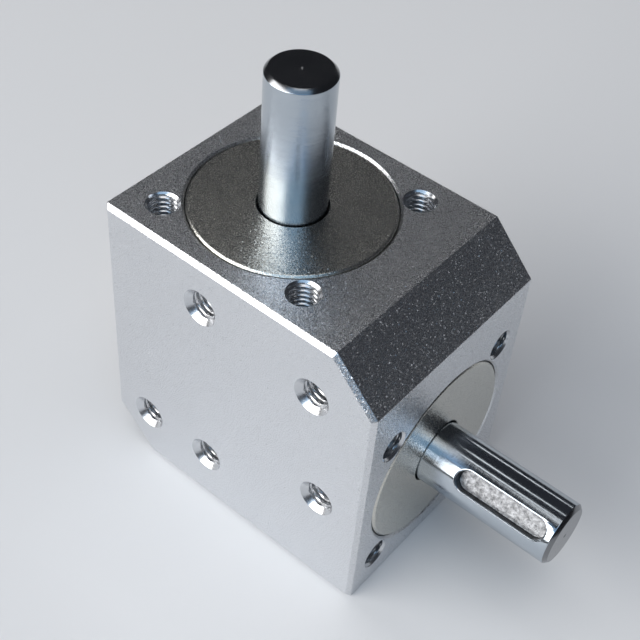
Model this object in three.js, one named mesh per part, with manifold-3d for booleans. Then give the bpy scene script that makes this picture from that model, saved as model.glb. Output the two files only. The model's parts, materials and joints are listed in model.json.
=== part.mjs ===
// Right angle bevel gearbox with two keyed output shafts.
// Units are millimetres and +Z is up. The origin is on the base face, right under the vertical
// shaft's axis, so the two shaft axes cross at (0, 0, axisHeight).

import * as THREE from 'three';
import { mergeVertices, toCreasedNormals } from 'three/addons/utils/BufferGeometryUtils.js';
import Module from 'manifold-3d';

const wasm = await Module();
wasm.setup();

const { degToRad, lerp } = THREE.MathUtils;

// ---------------------------------------------------------------- driving dimensions

// Housing block: a square outline with two opposite corners cut off, as deep as depth along Y.
const side = 59;
const depth = 45;
const axisHeight = 22.5;
const largeCorner = 9;
const smallCorner = 8.5;
const edgeBreak = 0.8;

// Shafts. Places along a shaft are distances outwards from the point where the axes cross.
const faceAt = side - axisHeight;
const shaftLength = 27;
const shaftRadius = 6;
const shaftEndAt = faceAt + shaftLength;
const shaftChamfer = 0.7;
const centreMark = 0.7;

// Tapped holes, M6. Those round a shaft barely have a countersink, and the others a wide one.
const tapRadius = 2.5;
const boltSinkRadius = 3.05;
const sideSinkRadius = 3.6;
const drillPoint = 1.5;
const deepTap = 12;
const sideTap = 10;
const shallowTap = 4.8;
const boltCircle = 44;

// Bearing holder: a flange set flush into the face and a barrel that carries two bearings.
const flangeRadius = 18.5;
const flangeThickness = 5;
const flangeChamfer = 0.4;
const flangeBoreChamfer = 0.4;
const barrelRadius = 15.5;
const barrelEndAt = 16.3;
const lipBore = 6.3;
const lipThickness = 2.3;
const clipRecessRadius = 8.6;
const clipRecessDepth = 1.3;
const chamberFloorAt = 6;

// Ball bearings, 12 x 24 x 6, each placed by the height of its outward side.
const bearingBore = 6;
const bearingOuter = 12;
const bearingWidth = 6;
const spacerWidth = 2.4;
const outerBearingTop = faceAt - lipThickness - clipRecessDepth;
const innerBearingTop = outerBearingTop - bearingWidth - spacerWidth;
const bearingsEndAt = innerBearingTop - bearingWidth;
const ballPitch = 9;
const ballRadius = 1.5;
const ballCount = 8;
const innerLand = 7.7;
const outerLand = 10.3;
const raceGrooveDepth = 0.42;
const raceGrooveWidth = 2.4;
const cageWidth = 1.6;
const cageThickness = 0.8;
const shieldThickness = 0.3;
const innerSpacerOuter = 7.4;
const outerSpacerInner = 10.6;

// Mitre gears with straight teeth.
const gearModule = 1.5;
const gearTeeth = 18;
const pressureAngle = degToRad(20);
const coneAngle = degToRad(45);
const toothFace = 6;
const flankRelief = 0.08;
const gearBore = 5;
const rimBore = 10.5;
const gearFrontRadius = 8.2;
const gearHubRadius = 8;
const gearFrontAt = 10.3;
const gearBackAt = 16;

// Keys and keyways. The shaft keyways stop short of the housing and of the shaft's end.
const keywayWidth = 4;
const keywayDepth = 2.5;
const keywayLength = 18;
const keywayStart = 7;
const gearKeySize = 3;
const gearKeyLength = 6;
const gearKeySeat = 3.2;
const gearKeyMiddle = 14.5;
const gearKeyAngle = degToRad(90);

// Retaining rings.
const holderClipThickness = 1.2;
const holderClipInner = 11.2;
const holderGrooveRadius = 12.6;
const shaftClipThickness = 1;
const shaftClipOuter = 7.3;
const shaftGrooveRadius = 5.72;

// The gear's M4 button head screw and its washer.
const washerOuter = 6.5;
const washerThickness = 1;
const screwRadius = 2;
const screwHeadRadius = 3.6;
const screwHeadHeight = 2.2;
const screwLength = 8;
const socketRadius = 1.45;
const socketDepth = 1.3;
const screwHoleEndAt = 19.5;

// Gap between pieces that are pressed or slid together.
const gap = 0.05;

// Facets per turn: many on what shows, few on what is sealed in. Edges flatter than the crease
// angle are shaded smooth.
const creaseAngle = degToRad(28);
const fine = 48;
const medium = 36;
const coarse = 20;
const small = 14;

// ---------------------------------------------------------------- materials

function metal(color, roughness, metalness) {
  return new THREE.MeshStandardMaterial({ color, roughness, metalness });
}

const blastedAluminium = () => metal(0xb4b9be, 0.55, 0.9);
const turnedAluminium = () => metal(0x9a9c9c, 0.35, 0.95);
const groundSteel = () => metal(0xc3cbd2, 0.14, 1);
const gearSteel = () => metal(0x7f8388, 0.35, 1);
const bearingSteel = () => metal(0xb9bcc0, 0.2, 1);
const springSteel = () => metal(0x3a3c40, 0.4, 0.9);
const cageBrass = () => metal(0xb08d4a, 0.35, 1);
const blackSteel = () => metal(0x2a2b2d, 0.5, 0.8);

// ---------------------------------------------------------------- shaping tools

// The closed solid that a geometry bounds, ready to join and cut.
function solid(geometry) {
  geometry.deleteAttribute('normal');
  geometry.deleteAttribute('uv');
  const merged = mergeVertices(geometry, 1e-4);
  const index = merged.index.array;
  const triangles = [];
  for (let i = 0; i < index.length; i += 3) {
    const [a, b, c] = [index[i], index[i + 1], index[i + 2]];
    if (a !== b && b !== c && c !== a) triangles.push(a, b, c);
  }
  return new wasm.Manifold(new wasm.Mesh({
    numProp: 3,
    vertProperties: new Float32Array(merged.attributes.position.array),
    triVerts: new Uint32Array(triangles),
  }));
}

function cut(body, tools) {
  return tools.reduce((rest, tool) => rest.subtract(solid(tool)), body);
}

function join(body, others) {
  return others.reduce((sum, other) => sum.add(solid(other)), body);
}

// Adds a named mesh of a solid to a group.
function addPiece(group, name, body, material) {
  const { vertProperties, triVerts } = body.getMesh();
  const geometry = new THREE.BufferGeometry();
  geometry.setAttribute('position', new THREE.BufferAttribute(vertProperties, 3));
  geometry.setIndex(new THREE.BufferAttribute(triVerts, 1));
  const mesh = new THREE.Mesh(toCreasedNormals(geometry, creaseAngle), material);
  mesh.name = name;
  group.add(mesh);
}

// Turns a profile of [radius, height] points about +Z. The points go up the outside and down
// the inside. A profile that starts and ends on the axis is whole, and any other is closed.
function turned(profile, facets) {
  const points = profile.map(([radius, height]) => new THREE.Vector2(radius, height));
  if (profile[0][0] > 0) points.push(points[0].clone());
  return new THREE.LatheGeometry(points, facets).rotateX(Math.PI / 2);
}

function disc(radius, low, high, facets) {
  return turned([[0, low], [radius, low], [radius, high], [0, high]], facets);
}

function ring(inner, outer, low, high, facets) {
  return turned([[inner, low], [outer, low], [outer, high], [inner, high]], facets);
}

// A bar with round ends, the shape that an end mill cuts. It lies along Z about its middle, and
// reaches from one radius to another in the direction of the angle about Z.
function roundEndedBar({ width, length, middle, from, to, angle }) {
  const half = width / 2;
  const reach = length / 2 - half;
  const outline = new THREE.Shape();
  outline.absarc(reach, 0, half, -Math.PI / 2, Math.PI / 2);
  outline.absarc(-reach, 0, half, Math.PI / 2, Math.PI * 1.5);
  const settings = { depth: to - from, bevelEnabled: false, curveSegments: 6 };
  return new THREE.ExtrudeGeometry(outline, settings)
    .translate(0, 0, from)
    .rotateY(-Math.PI / 2)
    .rotateZ(Math.PI + angle)
    .translate(0, 0, middle);
}

// ---------------------------------------------------------------- housing

// A countersunk tapped hole that opens at height 0 and ends in a drill point.
function tappedHole(length, sinkRadius) {
  const over = 0.5;
  return turned([
    [0, -length - drillPoint],
    [tapRadius, -length],
    [tapRadius, tapRadius - sinkRadius],
    [sinkRadius + over, over],
    [0, over],
  ], small);
}

// The bore for one shaft: a counterbore for the flange, then the barrel bore and gear chamber.
function shaftBore() {
  const ledgeAt = faceAt - flangeThickness;
  const over = 1;
  return turned([
    [0, chamberFloorAt],
    [barrelRadius, chamberFloorAt],
    [barrelRadius, ledgeAt],
    [flangeRadius, ledgeAt],
    [flangeRadius, faceAt - flangeBoreChamfer],
    [flangeRadius + flangeBoreChamfer + over, faceAt + over],
    [0, faceAt + over],
  ], fine);
}

// The shaft bore with the four deep holes around it, along +Z from the crossing point.
function shaftSideTools() {
  const reach = boltCircle / 2 * Math.SQRT1_2;
  const tools = [shaftBore()];
  for (const x of [-reach, reach]) {
    for (const y of [-reach, reach]) {
      tools.push(tappedHole(deepTap, boltSinkRadius).translate(x, y, faceAt));
    }
  }
  return tools;
}

// Mounting holes of the front face: x, z and thread length. The two beside the shaft bores are
// shallow, because the wall is thin there. The back face has the same ones.
const faceHoles = [
  [-0.5, 49.5, shallowTap],
  [24, 46.5, sideTap],
  [-14, 11.5, sideTap],
  [1, 11.5, sideTap],
  [27, 22, shallowTap],
];

function housingBlock() {
  const left = -axisHeight;
  const right = side - axisHeight;
  const outline = new THREE.Shape();
  outline.moveTo(left + smallCorner, 0);
  outline.lineTo(right, 0);
  outline.lineTo(right, side - largeCorner);
  outline.lineTo(right - largeCorner, side);
  outline.lineTo(left, side);
  outline.lineTo(left, smallCorner);
  outline.closePath();
  const settings = {
    depth: depth - 2 * edgeBreak,
    bevelEnabled: true,
    bevelThickness: edgeBreak,
    bevelSize: edgeBreak,
    bevelOffset: -edgeBreak,
    bevelSegments: 1,
  };
  return new THREE.ExtrudeGeometry(outline, settings)
    .translate(0, 0, edgeBreak - depth / 2)
    .rotateX(Math.PI / 2);
}

function housing() {
  const upward = shaftSideTools().map((tool) => tool.translate(0, 0, axisHeight));
  const sideways = shaftSideTools().map((tool) => (
    tool.rotateY(Math.PI / 2).translate(0, 0, axisHeight)
  ));
  const front = faceHoles.map(([x, z, length]) => (
    tappedHole(length, sideSinkRadius).rotateX(Math.PI / 2).translate(x, -depth / 2, z)
  ));
  const back = faceHoles.map(([x, z, length]) => (
    tappedHole(length, sideSinkRadius).rotateX(-Math.PI / 2).translate(x, depth / 2, z)
  ));
  return cut(solid(housingBlock()), [...upward, ...sideways, ...front, ...back]);
}

// ---------------------------------------------------------------- bearing holder and bearings

// The pieces of one shaft are built along +Z, with the crossing point at the origin.

const holderClipFrom = bearingsEndAt - gap - holderClipThickness;

function bearingHolder() {
  const bore = bearingOuter + gap;
  const flange = flangeRadius - gap;
  const barrel = barrelRadius - gap;
  const ledgeAt = faceAt - flangeThickness + gap;
  return turned([
    [barrel, barrelEndAt],
    [barrel, ledgeAt],
    [flange, ledgeAt],
    [flange, faceAt - flangeChamfer],
    [flange - flangeChamfer, faceAt],
    [lipBore, faceAt],
    [lipBore, faceAt - lipThickness],
    [clipRecessRadius, faceAt - lipThickness],
    [clipRecessRadius, outerBearingTop],
    [bore, outerBearingTop],
    [bore, bearingsEndAt],
    [holderGrooveRadius, bearingsEndAt],
    [holderGrooveRadius, holderClipFrom - gap],
    [bore, holderClipFrom - gap],
    [bore, barrelEndAt],
  ], medium);
}

function outerRace(top) {
  const low = top - bearingWidth;
  const middle = (low + top) / 2;
  return turned([
    [outerLand, low],
    [bearingOuter - gap, low],
    [bearingOuter - gap, top],
    [outerLand, top],
    [outerLand, middle + raceGrooveWidth / 2],
    [outerLand + raceGrooveDepth, middle],
    [outerLand, middle - raceGrooveWidth / 2],
  ], coarse);
}

function innerRace(top) {
  const low = top - bearingWidth;
  const middle = (low + top) / 2;
  const bore = bearingBore + 2 * gap;
  return turned([
    [bore, low],
    [innerLand, low],
    [innerLand, middle - raceGrooveWidth / 2],
    [innerLand - raceGrooveDepth, middle],
    [innerLand, middle + raceGrooveWidth / 2],
    [innerLand, top],
    [bore, top],
  ], coarse);
}

// The cage and its balls, which go round together at their own speed.
function ballSet(top) {
  const middle = top - bearingWidth / 2;
  const cage = ring(
    ballPitch - cageThickness / 2,
    ballPitch + cageThickness / 2,
    middle - cageWidth / 2,
    middle + cageWidth / 2,
    coarse,
  );
  const balls = [];
  for (let i = 0; i < ballCount; i += 1) {
    const angle = i / ballCount * Math.PI * 2;
    balls.push(new THREE.OctahedronGeometry(ballRadius, 1).translate(
      ballPitch * Math.cos(angle), ballPitch * Math.sin(angle), middle,
    ));
  }
  return join(solid(cage), balls);
}

function shield(low) {
  return ring(innerLand + 4 * gap, outerLand - 3 * gap, low, low + shieldThickness, coarse);
}

// A retaining ring: a C with an eye at each end, where the pliers go in.
function circlip({ inner, outer, eyeRadius, eyeAt, low, thickness }) {
  const opening = degToRad(20);
  const outline = new THREE.Shape();
  outline.absarc(0, 0, outer, opening, Math.PI * 2 - opening);
  outline.absarc(0, 0, inner, Math.PI * 2 - opening, opening, true);
  const settings = { depth: thickness, bevelEnabled: false, curveSegments: 16 };
  const arc = new THREE.ExtrudeGeometry(outline, settings).translate(0, 0, low);
  const places = [opening, -opening].map((angle) => (
    [eyeAt * Math.cos(angle), eyeAt * Math.sin(angle), low]
  ));
  const eyes = places.map((place) => disc(eyeRadius, 0, thickness, 8).translate(...place));
  const holes = places.map((place) => (
    disc(eyeRadius / 2, -1, thickness + 1, 6).translate(...place)
  ));
  return cut(join(solid(arc), eyes), holes);
}

function holderCirclip() {
  return circlip({
    inner: holderClipInner,
    outer: holderGrooveRadius - 2 * gap,
    eyeRadius: 1,
    eyeAt: 10.6,
    low: holderClipFrom,
    thickness: holderClipThickness,
  });
}

// ---------------------------------------------------------------- shaft

const gearHubEndAt = bearingsEndAt - 2 * gap;
const shaftInnerEndAt = gearFrontAt + 0.3;
const shaftClipFrom = outerBearingTop + 2 * gap;

function shaft(keywayAngle) {
  const shoulderAt = gearHubEndAt + gap;
  const grooveLow = shaftClipFrom - gap;
  const grooveHigh = shaftClipFrom + shaftClipThickness + gap;
  const blank = turned([
    [0, shaftInnerEndAt],
    [gearBore, shaftInnerEndAt],
    [gearBore, shoulderAt],
    [shaftRadius, shoulderAt],
    [shaftRadius, grooveLow],
    [shaftGrooveRadius, grooveLow],
    [shaftGrooveRadius, grooveHigh],
    [shaftRadius, grooveHigh],
    [shaftRadius, shaftEndAt - shaftChamfer],
    [shaftRadius - shaftChamfer, shaftEndAt],
    [centreMark, shaftEndAt],
    [0, shaftEndAt - centreMark],
  ], medium);
  const screwHole = disc(screwRadius + gap, shaftInnerEndAt - 1, screwHoleEndAt, small);
  const keyway = roundEndedBar({
    width: keywayWidth,
    length: keywayLength,
    middle: faceAt + keywayStart + keywayLength / 2,
    from: shaftRadius - keywayDepth,
    to: shaftRadius + 1,
    angle: keywayAngle,
  });
  const keySeat = roundEndedBar({
    width: gearKeySize + gap,
    length: gearKeyLength + 2 * gap,
    middle: gearKeyMiddle,
    from: gearKeySeat,
    to: shaftRadius,
    angle: gearKeyAngle,
  });
  return cut(solid(blank), [screwHole, keyway, keySeat]);
}

function shaftCirclip() {
  return circlip({
    inner: shaftGrooveRadius + 0.18,
    outer: shaftClipOuter,
    eyeRadius: 0.85,
    eyeAt: 7.4,
    low: shaftClipFrom,
    thickness: shaftClipThickness,
  });
}

// ---------------------------------------------------------------- gear and its fastenings

const pitchRadius = gearModule * gearTeeth / 2;

// A bevel gear's back cone unrolls into a flat gear. This is half the angle that a tooth spans
// there at one radius. The flanks are involutes, relieved a little for backlash.
function toothHalfAngle(radius) {
  const pitch = pitchRadius / Math.cos(coneAngle);
  const base = pitch * Math.cos(pressureAngle);
  const teeth = gearTeeth / Math.cos(coneAngle);
  const involute = (angle) => Math.tan(angle) - angle;
  const local = Math.acos(base / Math.max(radius, base));
  return Math.PI / 2 / teeth + involute(pressureAngle) - involute(local) - flankRelief / pitch;
}

// Outline of the teeth at their large end, seen along the gear's axis.
function toothOutline(firstAngle) {
  const pitch = pitchRadius / Math.cos(coneAngle);
  const levels = [-1.25, -0.6, 0.2, 1].map((modules) => pitch + modules * gearModule);
  const points = [];
  const addPoint = (level, centre, way) => {
    const angle = centre + way * toothHalfAngle(level) / Math.cos(coneAngle);
    const radius = level * Math.cos(coneAngle);
    points.push(new THREE.Vector2(radius * Math.cos(angle), radius * Math.sin(angle)));
  };
  for (let tooth = 0; tooth < gearTeeth; tooth += 1) {
    const centre = firstAngle + tooth / gearTeeth * Math.PI * 2;
    levels.forEach((level) => addPoint(level, centre, -1));
    levels.toReversed().forEach((level) => addPoint(level, centre, 1));
  }
  return new THREE.Shape(points);
}

// The toothed rim, whose pitch cone has its tip at the origin. It is extruded straight, then
// laid along the cone by shrinking its near end towards the tip.
function gearRim(firstAngle) {
  const outline = toothOutline(firstAngle);
  outline.holes.push(new THREE.Path().absarc(0, 0, rimBore, 0, Math.PI * 2, true));
  const settings = { depth: 1, bevelEnabled: false, curveSegments: 10 };
  const geometry = new THREE.ExtrudeGeometry(outline, settings);
  const coneLength = pitchRadius / Math.sin(coneAngle);
  const nearScale = (coneLength - toothFace) / coneLength;
  const position = geometry.attributes.position;
  for (let i = 0; i < position.count; i += 1) {
    const x = position.getX(i);
    const y = position.getY(i);
    const scale = lerp(nearScale, 1, position.getZ(i));
    const height = Math.min(2 * pitchRadius - Math.hypot(x, y), gearBackAt);
    position.setXYZ(i, x * scale, y * scale, height * scale);
  }
  return geometry;
}

function gearHub() {
  const bore = gearBore + 2 * gap;
  return turned([
    [bore, gearFrontAt],
    [gearFrontRadius, gearFrontAt],
    [rimBore + 0.8, gearBackAt - 1.6],
    [rimBore + 0.5, gearBackAt],
    [gearHubRadius, gearBackAt],
    [gearHubRadius, gearHubEndAt],
    [bore, gearHubEndAt],
  ], coarse);
}

// A mitre gear with one tooth centred on the given angle.
function bevelGear(firstAngle) {
  const slotReach = gearKeySeat + gearKeySize + 3 * gap;
  const keySlot = new THREE.BoxGeometry(slotReach, gearKeySize + 2 * gap, 12)
    .translate(slotReach / 2, 0, gearKeyMiddle)
    .rotateZ(gearKeyAngle);
  return cut(join(solid(gearRim(firstAngle)), [gearHub()]), [keySlot]);
}

function gearKey() {
  return roundEndedBar({
    width: gearKeySize - gap,
    length: gearKeyLength,
    middle: gearKeyMiddle,
    from: gearKeySeat + gap,
    to: gearKeySeat + gearKeySize,
    angle: gearKeyAngle,
  });
}

const washerFrom = gearFrontAt - gap - washerThickness;

function gearWasher() {
  return ring(screwRadius + 0.2, washerOuter, washerFrom, washerFrom + washerThickness, coarse);
}

// A button head screw that goes into the shaft's inner end.
function gearScrew() {
  const seatAt = washerFrom - gap;
  const topAt = seatAt - screwHeadHeight;
  const body = turned([
    [0, topAt],
    [screwHeadRadius * 0.5, topAt],
    [screwHeadRadius * 0.85, topAt + screwHeadHeight * 0.3],
    [screwHeadRadius, topAt + screwHeadHeight * 0.75],
    [screwHeadRadius, seatAt],
    [screwRadius, seatAt],
    [screwRadius, seatAt + screwLength],
    [0, seatAt + screwLength],
  ], small);
  const hexSocket = disc(socketRadius, topAt - 1, topAt + socketDepth, 6);
  return cut(solid(body), [hexSocket]);
}

// ---------------------------------------------------------------- assembly

// Everything that one shaft needs, in one group along its own +Z.
function shaftAssembly(prefix, keywayAngle, firstTooth) {
  const group = new THREE.Group();
  const add = (name, body, material) => addPiece(group, `${prefix}_${name}`, body, material);

  add('bearing_holder', solid(bearingHolder()), turnedAluminium());
  const bearings = [
    {
      bearing: 'outer_bearing',
      top: outerBearingTop,
      shieldLow: outerBearingTop - gap - shieldThickness,
    },
    { bearing: 'inner_bearing', top: innerBearingTop, shieldLow: bearingsEndAt + gap },
  ];
  for (const { bearing, top, shieldLow } of bearings) {
    add(`${bearing}_outer_race`, solid(outerRace(top)), bearingSteel());
    add(`${bearing}_inner_race`, solid(innerRace(top)), bearingSteel());
    add(`${bearing}_ball_set`, ballSet(top), cageBrass());
    add(`${bearing}_shield`, solid(shield(shieldLow)), bearingSteel());
  }

  const low = innerBearingTop + gap;
  const high = outerBearingTop - bearingWidth - gap;
  const outerSpacer = ring(outerSpacerInner, bearingOuter - gap, low, high, coarse);
  const innerSpacer = ring(bearingBore + 2 * gap, innerSpacerOuter, low, high, coarse);
  add('outer_spacer', solid(outerSpacer), gearSteel());
  add('inner_spacer', solid(innerSpacer), gearSteel());
  add('holder_circlip', holderCirclip(), springSteel());

  add('shaft', shaft(keywayAngle), groundSteel());
  add('shaft_circlip', shaftCirclip(), springSteel());
  add('gear', bevelGear(firstTooth), gearSteel());
  add('gear_key', solid(gearKey()), gearSteel());
  add('gear_washer', solid(gearWasher()), blackSteel());
  add('gear_screw', gearScrew(), blackSteel());
  return group;
}

const gearbox = new THREE.Group();
addPiece(gearbox, 'housing', housing(), blastedAluminium());

const vertical = shaftAssembly('vertical', degToRad(126), 0);
vertical.position.z = axisHeight;
gearbox.add(vertical);

// Turned half a tooth on, so that its teeth lie in the vertical gear's gaps.
const horizontal = shaftAssembly('horizontal', degToRad(-126), Math.PI / gearTeeth);
horizontal.position.z = axisHeight;
horizontal.rotation.y = Math.PI / 2;
gearbox.add(horizontal);

export default gearbox;
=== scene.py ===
"""Looks of a right angle bevel gearbox, laid over its CAD model.

Meshes are worked out in millimetres and handed to Blender in metres. Every piece of a shaft is
made along +Z with the crossing point of the two shaft axes at the origin, then put in place by
its shaft's matrix.
"""

import json
import math

import bmesh
import bpy
from mathutils import Matrix, Vector

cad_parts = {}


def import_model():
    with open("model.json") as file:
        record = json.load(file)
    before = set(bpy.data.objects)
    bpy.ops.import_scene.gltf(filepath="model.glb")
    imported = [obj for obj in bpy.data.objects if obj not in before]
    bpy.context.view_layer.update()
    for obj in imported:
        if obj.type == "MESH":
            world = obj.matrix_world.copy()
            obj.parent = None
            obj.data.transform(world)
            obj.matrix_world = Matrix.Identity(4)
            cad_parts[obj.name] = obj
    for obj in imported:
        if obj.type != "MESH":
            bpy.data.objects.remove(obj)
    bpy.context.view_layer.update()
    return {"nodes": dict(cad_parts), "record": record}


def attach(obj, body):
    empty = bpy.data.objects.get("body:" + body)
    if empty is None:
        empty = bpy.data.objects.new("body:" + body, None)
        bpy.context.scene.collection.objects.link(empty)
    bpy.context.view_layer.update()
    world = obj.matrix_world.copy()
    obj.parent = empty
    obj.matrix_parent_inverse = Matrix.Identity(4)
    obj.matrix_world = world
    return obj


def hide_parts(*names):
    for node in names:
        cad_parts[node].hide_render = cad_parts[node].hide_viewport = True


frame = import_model()

# ------------------------------------------------------------------------ driving dimensions, mm

# Metres in a millimetre
METRES = 0.001

# Housing block
SIDE = 59
DEPTH = 45
AXIS_HEIGHT = 22.5
LARGE_CORNER = 9
SMALL_CORNER = 8.5
EDGE_BREAK = 0.8
EDGE_ROUNDING = 0.14
FACE_AT = SIDE - AXIS_HEIGHT

# M6 tapped holes
THREAD_RADIUS = 3
THREAD_CORE = 2.5
THREAD_PITCH = 1
BOLT_SINK_RADIUS = 3.05
SIDE_SINK_RADIUS = 3.6
DRILL_POINT = 1.5
DEEP_TAP = 12
SIDE_TAP = 10
SHALLOW_TAP = 4.8
STEPS_PER_PITCH = 10
BOLT_CIRCLE = 44
BOLT_REACH = BOLT_CIRCLE / 2 * math.sqrt(0.5)

# Holes in the front and back faces: x, z and length
SIDE_HOLES = [
    (-0.5, 49.5, SHALLOW_TAP),
    (24, 46.5, SIDE_TAP),
    (-14, 11.5, SIDE_TAP),
    (1, 11.5, SIDE_TAP),
    (27, 22, SHALLOW_TAP),
]

# Bearing holder
FLANGE_RADIUS = 18.5
FLANGE_THICKNESS = 5
FLANGE_CHAMFER = 0.4
FLANGE_BORE_CHAMFER = 0.4
FLANGE_PLAY = 0.2
BARREL_RADIUS = 15.5
BARREL_END_AT = 16.3
CHAMBER_FLOOR_AT = 6
LIP_BORE = 6.3
LIP_THICKNESS = 2.3
LIP_CHAMFER = 0.15
CLIP_RECESS_RADIUS = 8.6
CLIP_RECESS_DEPTH = 1.3
HOLDER_CLIP_THICKNESS = 1.2
HOLDER_GROOVE_RADIUS = 12.6

# Bearings, 12 x 24 x 6
BEARING_BORE = 6
BEARING_OUTER = 12
BEARING_WIDTH = 6
RACE_CHAMFER = 0.3
LAND_CHAMFER = 0.1
INNER_LAND = 7.7
OUTER_LAND = 10.3
GROOVE_REACH = 1.1
SHIELD_THICKNESS = 0.3
SPACER_WIDTH = 2.4
OUTER_SPACER_BORE = 10.6
INNER_SPACER_RADIUS = 7.4
OUTER_BEARING_TOP = FACE_AT - LIP_THICKNESS - CLIP_RECESS_DEPTH
INNER_BEARING_TOP = OUTER_BEARING_TOP - BEARING_WIDTH - SPACER_WIDTH
BEARINGS_END_AT = INNER_BEARING_TOP - BEARING_WIDTH
BALL_PITCH = 9
BALL_RADIUS = 1.5
BALL_COUNT = 8

# Shafts
SHAFT_RADIUS = 6
FREE_LENGTH = 27
SHAFT_END_AT = FACE_AT + FREE_LENGTH
SHAFT_CHAMFER = 0.7
SHAFT_CLIP_PLAY = 0.1
SHAFT_CLIP_FROM = OUTER_BEARING_TOP + SHAFT_CLIP_PLAY
SHAFT_CLIP_THICKNESS = 1
SHAFT_GROOVE_RADIUS = 5.72
CENTRE_MARK = 0.4
KEYWAY_WIDTH = 4
KEYWAY_DEPTH = 2.5
KEYWAY_LENGTH = 18
KEYWAY_FROM_FACE = 7
KEYWAY_MIDDLE = FACE_AT + KEYWAY_FROM_FACE + KEYWAY_LENGTH / 2
GEAR_BORE = 5
KEY_SEAT_WIDTH = 3
KEY_SEAT_LENGTH = 6
KEY_SEAT_FLOOR = 3.2
KEY_SEAT_MIDDLE = 14.5
KEY_SEAT_ANGLE = math.radians(90)

# Mitre gears
GEAR_MODULE = 1.5
GEAR_TEETH = 18
PITCH_RADIUS = GEAR_MODULE * GEAR_TEETH / 2
TOOTH_FACE = 6
GEAR_FRONT_AT = 10.3
GEAR_BACK_AT = 16
GEAR_HUB_RADIUS = 8
GEAR_NOSE_RADIUS = 8.2
GEAR_WEB_RADIUS = 11.3
GEAR_WEB_AT = 14.4
GEAR_BACK_RADIUS = 11
RIM_BORE = 10.5
KEY_SLOT_WIDTH = 3.1
KEY_SLOT_REACH = 6.35
KEY_SLOT_LENGTH = 12
FLANK_RELIEF = 0.08

# Gap between pieces that are pressed or slid together
GAP = 0.05

# Washer and button head screw that clamp a gear to its shaft, and the screw's hole
WASHER_BORE = 2.2
WASHER_RADIUS = 6.5
WASHER_THICKNESS = 1
WASHER_FROM = GEAR_FRONT_AT - GAP - WASHER_THICKNESS
SHAFT_SETBACK = 0.3
SCREW_HEAD_HEIGHT = 2.2
SCREW_HEAD_RADIUS = 3.6
SCREW_LENGTH = 8
SCREW_CORE = 1.65
SCREW_THREAD_DEPTH = 0.33
SCREW_PITCH = 0.7
SOCKET_RADIUS = 1.45
SOCKET_DEPTH = 1.3
SCREW_HOLE_RADIUS = 2.05
SCREW_HOLE_FROM = 9
SCREW_HOLE_END_AT = 19.5

# Edges shorter than this are left over from a cut, and are taken out
SLIVER = 0.0005

# Facets round a turned piece
FINE = 128
MEDIUM = 96
SMALL = 40

CROSSING = Matrix.Translation((0, 0, AXIS_HEIGHT))
SHAFTS = {
    "vertical": {
        "place": CROSSING,
        "keyway_angle": math.radians(126),
        "ground_lines": 0.026,
        "first_tooth": 0,
    },
    "horizontal": {
        "place": CROSSING @ Matrix.Rotation(math.radians(90), 4, "Y"),
        "keyway_angle": math.radians(-126),
        "ground_lines": 0.009,
        "first_tooth": math.pi / GEAR_TEETH,
    },
}

# ------------------------------------------------------------------------ mesh tools


def bridge(bm, first, second):
    """Faces between two closed rows of vertices. A row of one vertex is a point."""
    count = max(len(first), len(second))
    for i in range(count):
        j = (i + 1) % count
        corners = [first[i % len(first)], first[j % len(first)]]
        corners += [second[j % len(second)], second[i % len(second)]]
        bm.faces.new(list(dict.fromkeys(corners)))


def loft(rows, closed=False):
    """A solid through rows of points. It closes on itself, or ends in a cap or a point."""
    bm = bmesh.new()
    made = [[bm.verts.new(point) for point in row] for row in rows]
    for first, second in zip(made, made[1:]):
        bridge(bm, first, second)
    if closed:
        bridge(bm, made[-1], made[0])
    else:
        for end in (made[0], made[-1]):
            if len(end) > 1:
                bm.faces.new(end)
    bmesh.ops.recalc_face_normals(bm, faces=bm.faces)
    return bm


def circle(radius, height, facets):
    """Points of a level circle about +Z, or the point on the axis if the radius is 0."""
    if radius == 0:
        return [(0, 0, height)]
    turns = [i / facets * math.tau for i in range(facets)]
    return [(radius * math.cos(t), radius * math.sin(t), height) for t in turns]


def turned(profile, facets=MEDIUM):
    """A solid turned about +Z from (radius, height) points, up the outside and down the inside."""
    rows = [circle(radius, height, facets) for radius, height in profile]
    return loft(rows, closed=profile[0][0] > 0)


def eased(profile, size=0.15, steps=3):
    """The profile with its corners rounded, other than those on the axis."""
    whole = profile[0][0] == 0
    points = [Vector(point) for point in profile]
    result = []
    for i, corner in enumerate(points):
        if whole and i in (0, len(points) - 1):
            result.append(tuple(corner))
            continue
        before = points[i - 1] - corner
        after = points[(i + 1) % len(points)] - corner
        start = corner + before.normalized() * min(size, before.length * 0.45)
        end = corner + after.normalized() * min(size, after.length * 0.45)
        for step in range(steps + 1):
            t = step / steps
            near = start.lerp(corner, t)
            far = corner.lerp(end, t)
            result.append(tuple(near.lerp(far, t)))
    return result


def ring(inner, outer, low, high, ease=0.15):
    """A flat ring with eased edges."""
    return turned(eased([(inner, low), (outer, low), (outer, high), (inner, high)], ease))


def threaded(radius_at, heights, low_tip, high_tip, facets=SMALL):
    """A solid whose radius is a function of the turn (0 to 1) and the height."""
    rows = [[(0, 0, low_tip)]]
    for height in heights:
        row = []
        for i in range(facets):
            turn = i / facets
            radius = radius_at(turn, height)
            angle = turn * math.tau
            row.append((radius * math.cos(angle), radius * math.sin(angle), height))
        rows.append(row)
    rows.append([(0, 0, high_tip)])
    return loft(rows)


def thread_height(turns):
    """How far a 60 degree thread stands up, 0 to 1, at a place along its pitch."""
    crest_flat = 0.25
    root_flat = 0.125
    from_crest = abs(turns % 1 - 0.5) * 2
    return min(1, max(0, (1 - root_flat - from_crest) / (1 - root_flat - crest_flat)))


def steps_between(low, high, step):
    """Even values from low to high, both included, about a step apart."""
    count = max(1, round((high - low) / step))
    return [low + (high - low) * i / count for i in range(count + 1)]


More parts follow.
